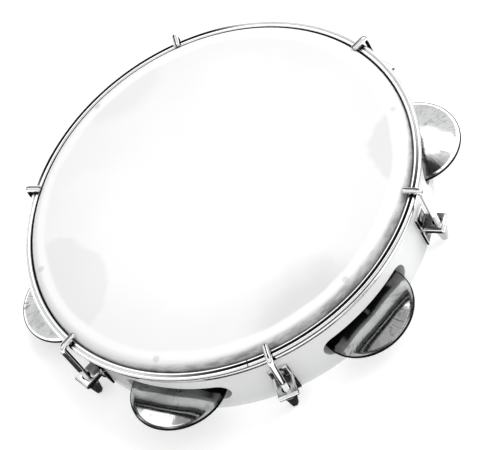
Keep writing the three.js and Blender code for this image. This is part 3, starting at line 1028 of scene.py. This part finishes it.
def film(dots):
    """Milky film, faintly grey with painted shadow over the discs and the near wall, greyer with
    painted shade at its collar, and painted dark as shade on its underside and tuck.
    """
    f = Finish("milky film", specular_ior_level=FILM_SPECULAR)
    radius, height = f.radius(), f.height()
    colour = f.coat(FILM_WHITE, "haze", f.patches("haze"))
    outwards = f.plus(radius, f.times(f.cloud("drift"), GREYING_DRIFT))
    colour = f.coat(colour, "greying", f.fade(outwards, *GREYING_RADII))
    ripple = f.times(f.less(f.cloud("ripple"), CLOUD_MIDDLE), SHADE_RIPPLE)
    # Painted shadows, as if cast on the film from below by the discs and the near wall.
    for x, y, reach, softness, share in FILM_SHADES:
        apart = f.plus(f.apart((x, y, FILM_TOP)), ripple)
        colour = f.mix(f.fade(apart, reach, reach - softness, 0.0, share), colour, SHADE_GREY)
    rim = f.plus(radius, f.times(f.cloud("rim"), RIM_DRIFT))
    colour = f.mix(f.fade(rim, *RIM_RADII), colour, FILM_WHITE)
    for turn in dots:
        place = (*spoke(turn, PIN_CIRCLE), FILM_TOP)
        colour = f.mix(f.fade(f.apart(place), *DOT_RADII, DOT_SHARE, 0.0), colour, DOT_GREY)
    # Painted shade on the collar, starting further out away from the near side, with streaks in it.
    behind = f.times(f.less(1.0, f.toward(COLLAR_AZIMUTH)), COLLAR_FALL)
    shade = f.fade(f.less(radius, behind), *COLLAR_SHADE_RADII)
    streaks = f.patches("streak", f.cloud("streak", f.polar(FILM_OUTER, STREAK_SQUEEZE)))
    colour = f.mix(shade, colour, f.mix(streaks, *COLLAR_SHADE_GREYS))
    # Painted shade: the film's underside within the drum and its tuck under the flesh hoop are
    # darkened.
    underside = f.border("film underside", height, BEARING_HEIGHT + BEARING_ROUND)
    inside = f.times(f.border("film flat", radius, BEARING_CENTRE), underside)
    inside = f.most(inside, f.border("film tuck", height, FLESH_BOTTOM))
    return f.done(f.coat(colour, "painted film underside shade", inside), f.roughness("sheen"), "grain")


def hoop_shade_and_weld(f, colour, rough):
    """Painted shade in the hoop's groove, at its foot and under it, and the dark line of its weld."""
    radius = f.radius()
    middle = f.calc("ABSOLUTE", f.less(radius, (INNER_BEAD + OUTER_BEAD) / 2))
    # The groove's painted shade is full towards two sides of the drum and fainter elsewhere.
    sides = [f.fade(f.toward(azimuth), start, GROOVE_FULL, GROOVE_LEAST_SHARE, 1.0)
             for azimuth, start in GROOVE_SIDES]
    groove = f.times(f.fade(middle, *GROOVE_HALF), f.most(*sides))
    foot = f.border("hoop foot", radius, INNER_BEAD)
    weld = f.times(f.seam(*WELD), WELD_SHARE)
    shade_and_joints = f.most(groove, foot, weld, f.border("hoop underside", f.height(), HOOP_HEIGHT))
    return f.coat(colour, "shade_and_joints", shade_and_joints), f.plus(rough, f.times(shade_and_joints, SHADE_AND_JOINT_ROUGHER))


def flesh_shade_and_seam(f, colour, rough):
    """A flesh hoop has painted shade at both edges, and a dark joint."""
    height = f.height()
    below = f.border("flesh underside", height, FLESH_BOTTOM + FLESH_ROUND)
    above = f.border("flesh top", height, FLESH_TOP)
    return f.coat(colour, "shade_and_joints", f.most(below, above, f.seam(*SEAM))), rough


def bracket_shade(f, colour, rough):
    """Painted shade on the tab faces, dark flanks, and a dark lower sheet in the flange."""
    out, side, up = f.own_axes()
    side = f.calc("ABSOLUTE", side)
    edge = BRACKET_WIDTH / 2
    # Painted shade on each tab's front face, standing for the dark it mirrors in the flange's shadow.
    face = f.times(f.border("tab front", out, ROD_CIRCLE), f.border("tab inset", side, edge))
    face = f.times(face, f.border("tab inset", up, TAB_TOP), f.border("tab foot", up, TAB_BOTTOM))
    colour = f.coat(colour, "painted tab shade", face)
    # Painted shade on the tab flanks and on the flange's lower sheet.
    flank = f.times(f.border("tab flank", side, edge), f.border("tab sheet", out, TAB_FRONT))
    lower = f.border("flange lower sheet", up, FLANGE_MIDDLE - FOLD_GAP / 2)
    dark = f.most(flank, f.times(lower, f.border("flange", out, TAB_FRONT)))
    f.set("specular_tint", f.mix(dark, 1.0, 0.0))
    return f.coat(colour, "painted_shade", dark), rough


def hook_shade(f, colour, rough):
    """A hook has painted shade and dark reflection: a line along the top of its bend, its underside
    inwards of the rod, and its shank's side towards the shell.
    """
    out, side, up = f.own_axes()
    top = HOOP_HEIGHT + HOOK_BEND
    # Painted dark reflection along the top of the bend, and painted shade below its top inwards of the
    # rod.
    line = f.fade(f.calc("ABSOLUTE", f.less(side, CREST_SHADE_OFFSET)), *CREST_SHADE_HALF)
    line = f.times(line, f.border("bend top", up, top))
    bend_shade = f.most(line, f.border("bend end", up, top))
    bend_shade = f.times(f.border("bend inside", out, ROD_CIRCLE), bend_shade)
    # Painted shade on the shank's side towards the shell.
    back = f.times(f.border("shank back", out, ROD_CIRCLE), f.border("shank", up, HOOP_HEIGHT))
    painted_dark = f.most(bend_shade, back)
    f.set("specular_tint", f.mix(painted_dark, 1.0, 0.0))
    return f.coat(colour, "painted hook shade", painted_dark), rough


def chrome(name, painted_shade):
    """Bright plate with faint pits and worn patches, and the painted shade and any dark joint of its
    piece.
    """
    base, rough, worn = METALS[name]
    f = Finish(name, metallic=1.0)
    wear = f.patches("wear")
    colour = f.mix(f.times(wear, worn), base, tuple(WORN_GREY_SHARE * value for value in base))
    colour = f.mix(f.times(f.patches("pits"), PIT_SHARE * worn), colour, PIT_GREY)
    return f.done(*painted_shade(f, colour, f.plus(f.times(wear, WORN_ROUGHER), rough)), "buff")


def jingle_metal():
    """Plate with brush strokes round the disc, smears, and a dark rim."""
    f = Finish("struck and brushed plate", metallic=1.0)
    offset = f.scaled(f.place, *[STROKE_SHIFT] * 3)
    strokes = f.polar(STROKE_RING, STROKE_SQUEEZE, f.own())
    brush = f.cloud("brush", f.vector("ADD", strokes, offset)[0])
    colour = f.mix(f.patches("tarnish"), JINGLE_BRIGHT, JINGLE_TARNISHED)
    brushed = f.patches("brushed", None, *BRUSHED_SHARES)
    colour = f.coat(colour, "stroke", f.times(f.patches("brush", brush), brushed))
    colour = f.coat(colour, "smear", f.patches("smear"))
    rim = f.border("jingle rim", f.radius(f.own()), JINGLE_RADIUS)
    rough = f.plus(f.roughness("brush", brush), f.times(rim, RIM_ROUGHER))
    return f.done(f.coat(colour, "rim", rim), rough, "brush", brush)


def dark_steel(name):
    base, rough = METALS[name]
    f = Finish(name, metallic=1.0)
    mottle = f.cloud("mottle")
    colour = f.mix(mottle, tuple(MOTTLE_GREY_SHARE * value for value in base), base)
    return f.done(colour, f.plus(f.times(mottle, MOTTLE_ROUGHER), rough), "pitting")


# Stations, read from the joints and the pins
def hook_station(number):
    """The angle of a hook round the drum, and its lean along the hoop."""
    joint = next(j for j in frame["joints"] if j["name"] == f"nut_turn_{number}")
    x, y, _ = joint["pos_m"]
    angle = math.atan2(y, x)
    up = -Vector(joint["axis"])
    return angle, math.asin(up.x * math.sin(angle) - up.y * math.cos(angle))


def pin_station(number):
    low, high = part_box(f"jingle_pin_{number}")
    return (low.x + high.x) / 2, (low.y + high.y) / 2


pin_stations = [pin_station(number) for number in range(1, jingle_count + 1)]
pin_angles = [math.atan2(y, x) for x, y in pin_stations]
hook_chrome = chrome("hook chrome", hook_shade)
bracket_plate = chrome("bracket plate", bracket_shade)
nut_steel = dark_steel("nut steel")
pin_steel = dark_steel("pin steel")
jingle_plate = jingle_metal()

piece("shell", make_shell(pin_angles), laminate(pin_angles))
piece("head", make_head(), film(pin_angles))
piece("flesh_hoop", make_flesh_hoop(), chrome("flesh hoop plate", flesh_shade_and_seam))
piece("counter_hoop", make_counter_hoop(), chrome("hoop chrome", hoop_shade_and_weld))

for number in range(1, hook_count + 1):
    angle, lean = hook_station(number)
    spin = Matrix.Rotation(angle, 4, "Z")
    rise = (HOOP_HEIGHT + HOOK_BEND - FLANGE_MIDDLE) * (1 / math.cos(lean) - 1)
    drop = NUT_COLLAR_RADIUS * abs(math.sin(lean))
    leaning = spin @ shift(ROD_CIRCLE, 0, FLANGE_MIDDLE) @ Matrix.Rotation(lean, 4, "X")
    piece(f"tension_hook_{number}", make_hook(f"hook_{number}"), hook_chrome,
          leaning @ shift(-ROD_CIRCLE, 0, rise - FLANGE_MIDDLE))
    piece(f"tuning_nut_{number}", make_nut(f"nut_{number}"), nut_steel,
          leaning @ shift(0, 0, -FLANGE_MIDDLE - drop))
    piece(f"bracket_{number}", make_bracket(f"bracket_{number}"), bracket_plate, spin)
    for level in ("upper", "lower"):
        node = f"rivet_{level}_{number}"
        low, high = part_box(node)
        seat = spin @ Matrix.Translation((0, 0, (low.z + high.z) / 2))
        seat @= Matrix.Rotation(math.pi / 2, 4, "Y")
        piece(node, make_rivet(node + "_head"), pin_steel, seat)

for number, (x, y) in enumerate(pin_stations, 1):
    seat = Matrix.Translation((x, y, 0))
    piece(f"jingle_pin_{number}", make_pin(f"pin_{number}"), pin_steel, seat)
    for k, level in enumerate(("upper", "lower")):
        node = f"jingle_{level}_{number}"
        disc = make_jingle(node + "_disc", DENT_SEEDS[0] * number + DENT_SEEDS[1] * k)
        piece(node, disc, jingle_plate, disc_matrix(node))


# Camera: azimuth and elevation of the view from the drum, and the turn of the picture
CAMERA_VIEW = (-105.684, 49.788)
CAMERA_ROLL = 34.508
CAMERA_DISTANCE = 1226
CAMERA_TARGET = (-8.08, -33.32, 48)
PICTURE_WIDTH = 484
FOCAL_PIXELS = 2000
SENSOR = 36


def direction(azimuth, elevation):
    a, e = math.radians(azimuth), math.radians(elevation)
    return Vector((*spoke(a, math.cos(e)), math.sin(e)))


def make_camera():
    data = bpy.data.cameras.new("camera")
    data.sensor_width = SENSOR
    data.lens = FOCAL_PIXELS / PICTURE_WIDTH * SENSOR
    made = new_object("camera", data)
    out = direction(*CAMERA_VIEW)
    level = out.cross(Vector((0, 0, -1))).normalized()
    upright = out.cross(level)
    roll = math.radians(CAMERA_ROLL)
    up = upright * math.cos(roll) + level * math.sin(roll)
    matrix = Matrix((up.cross(out), up, out)).transposed().to_4x4()
    matrix.translation = (Vector(CAMERA_TARGET) + out * CAMERA_DISTANCE) * MM
    made.matrix_world = matrix
    bpy.context.scene.camera = made


# Floor, world, lamps and the cards that the metal mirrors
FLOOR_SIZE = 6000
FLOOR_GLOW = 0.42
FLOOR_FADE = (250, 900)
FLOOR_COLOUR = 0.92
FLOOR_ROUGHNESS = 0.9
WORLD_LIGHT = 0.56
LAMPS = (
    # azimuth, elevation, distance, width, strength in watts
    (30, 56, 1500, 700, 7),
    (-20, 30, 1700, 800, 9),
    (-110, 30, 1600, 800, 5),
)
CARDS = (
    # azimuth, elevation, distance, width, height, brightness
    (0, 73, 1200, 330, 330, 0.04),
    (10, 85, 1300, 1000, 1000, 0.5),
    (28, 54, 1500, 900, 520, 2.4),
    (-20, 30, 1700, 800, 800, 1.7),
    (84, 60, 1500, 900, 900, 2.0),
)
CARD_SIDES = 40
# Dark cards on the floor round the drum, seen only in reflections: a painted shadow of the drum for the
# metal to mirror
FLOOR_SHADOW_CARD_HEIGHT = 1
FLOOR_SHADOW_CARDS = (
    # inner and outer radius, first and last azimuth, brightness
    (129, 158, -240, -80, 0.04),
    (158, 205, -205, -160, 0.04),
)
BAND_RADIUS = 2600
BAND_DEGREES = (5, 15)
BAND_STEPS = 48
BAND_BRIGHTNESS = 0.02


def seen_by_rays(nodes):
    """One for camera, glossy and transmission rays."""
    rays = nodes.node("LightPath").outputs
    return nodes.most(*(rays[f"Is {kind} Ray"] for kind in ("Camera", "Glossy", "Transmission")))


def make_world():
    world = bpy.data.worlds.new("studio")
    bpy.context.scene.world = world
    back = Nodes(world, "Background")
    level = back.node("MapRange", {"Value": seen_by_rays(back), "To Min": WORLD_LIGHT, "To Max": 1})
    back.set("color", 1.0)
    back.set("strength", level.outputs[0])


def make_floor():
    f = Finish("floor", roughness=FLOOR_ROUGHNESS, specular_ior_level=0.0, base_color=FLOOR_COLOUR)
    f.set("emission_color", 1.0)
    outside = f.fade(f.radius(), SHELL_INNER, SHELL_RADIUS)
    glow = f.fade(f.radius(), *FLOOR_FADE, FLOOR_GLOW, 1.0)
    f.set("emission_strength", f.times(outside, glow, seen_by_rays(f)))
    half = FLOOR_SIZE / 2
    corners = [(-half, -half, 0), (half, -half, 0), (half, half, 0), (-half, half, 0)]
    mesh = mesh_from("floor", corners, [(0, 1, 2, 3)])
    mesh.materials.append(f.material)
    new_object("floor", mesh)


def facing(azimuth, elevation, distance):
    """A place on a sphere round the drum, with local -Z towards the drum."""
    out = direction(azimuth, elevation)
    matrix = out.to_track_quat("Z", "Y").to_matrix().to_4x4()
    matrix.translation = (out * distance + Vector((0, 0, SHELL_HEIGHT))) * MM
    return matrix


def make_lamps():
    for k, (*place, width, power) in enumerate(LAMPS):
        data = bpy.data.lights.new(f"lamp_{k}", "AREA")
        data.size = width * MM
        data.energy = power
        lamp = new_object(f"lamp_{k}", data)
        lamp.visible_glossy = False
        lamp.matrix_world = facing(*place)


def mirrored_only(name, mesh, brightness, matrix=None):
    """A card of even brightness that shows in mirrored light and nowhere else."""
    f = Finish(name, roughness=1.0, specular_ior_level=0.0, base_color=0.0, emission_color=1.0)
    f.set("emission_strength", brightness)
    mesh.materials.append(f.material)
    card = new_object(name, mesh)
    if matrix:
        card.matrix_world = matrix
    for kind in ("camera", "diffuse", "shadow", "transmission"):
        setattr(card, "visible_" + kind, False)


def make_cards():
    for k, (*place, width, height, brightness) in enumerate(CARDS):
        outline = [(x * width / 2, y * height / 2, 0) for x, y in arc(0, 0, 1, 0, 360, CARD_SIDES)[1:]]
        mesh = mesh_from(f"card_{k}", outline, [tuple(range(CARD_SIDES))])
        mirrored_only(f"card_{k}", mesh, brightness, facing(*place))
    # Painted shadow on the floor by the drum, shown only in mirrored light.
    for k, (inner, outer, start, end, brightness) in enumerate(FLOOR_SHADOW_CARDS):
        outline = arc(0, 0, outer, start, end, BAND_STEPS) + arc(0, 0, inner, end, start, BAND_STEPS)
        outline = [(x, y, FLOOR_SHADOW_CARD_HEIGHT) for x, y in outline]
        mesh = mesh_from(f"floor_shadow_card_{k}", outline, [tuple(range(len(outline)))])
        mirrored_only(f"floor_shadow_card_{k}", mesh, brightness)
    low, high = (BAND_RADIUS * math.tan(math.radians(turn)) for turn in BAND_DEGREES)
    ring = arc(0, 0, BAND_RADIUS, 0, 360, BAND_STEPS)[:-1]
    mesh = mesh_from("band", [(x, y, z) for z in (low, high) for x, y in ring],
                     skin([list(range(BAND_STEPS)), list(range(BAND_STEPS, 2 * BAND_STEPS))]))
    mirrored_only("band", mesh, BAND_BRIGHTNESS)


make_camera()
make_world()
make_floor()
make_lamps()
make_cards()
bpy.context.scene.view_settings.view_transform = "Standard"
